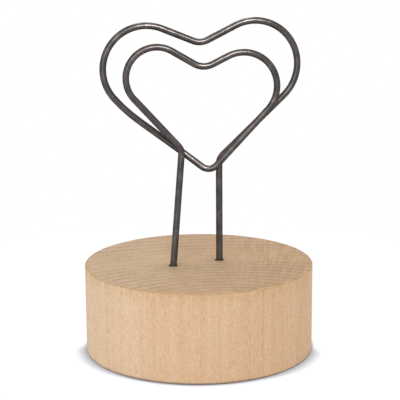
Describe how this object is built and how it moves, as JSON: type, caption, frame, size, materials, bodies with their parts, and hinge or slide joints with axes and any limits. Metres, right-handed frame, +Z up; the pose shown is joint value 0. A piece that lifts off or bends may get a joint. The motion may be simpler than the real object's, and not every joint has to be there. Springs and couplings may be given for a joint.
{
  "type": "photo holder",
  "caption": "Round wooden block with one bent steel wire glued upright in it; the wire's heart-shaped loops grip a photo or card between them.",
  "frame": {"origin": "middle of the block's underside", "axes": "+Z up, along the block's axis; +X to the right across the hearts; the small heart is in front, towards -Y"},
  "size_m": [0.065, 0.065, 0.0942],
  "materials": {
    "pale_wood": "bare, sanded, end grain on top",
    "dark_wire": "dark annealed, satin",
    "cured_glue": "amber, set hard"
  },
  "bodies": {
    "root": {"wooden_block": "pale_wood", "wire_clip": "dark_wire", "left_glue_plug": "cured_glue", "right_glue_plug": "cured_glue"}
  },
  "joints": []
}
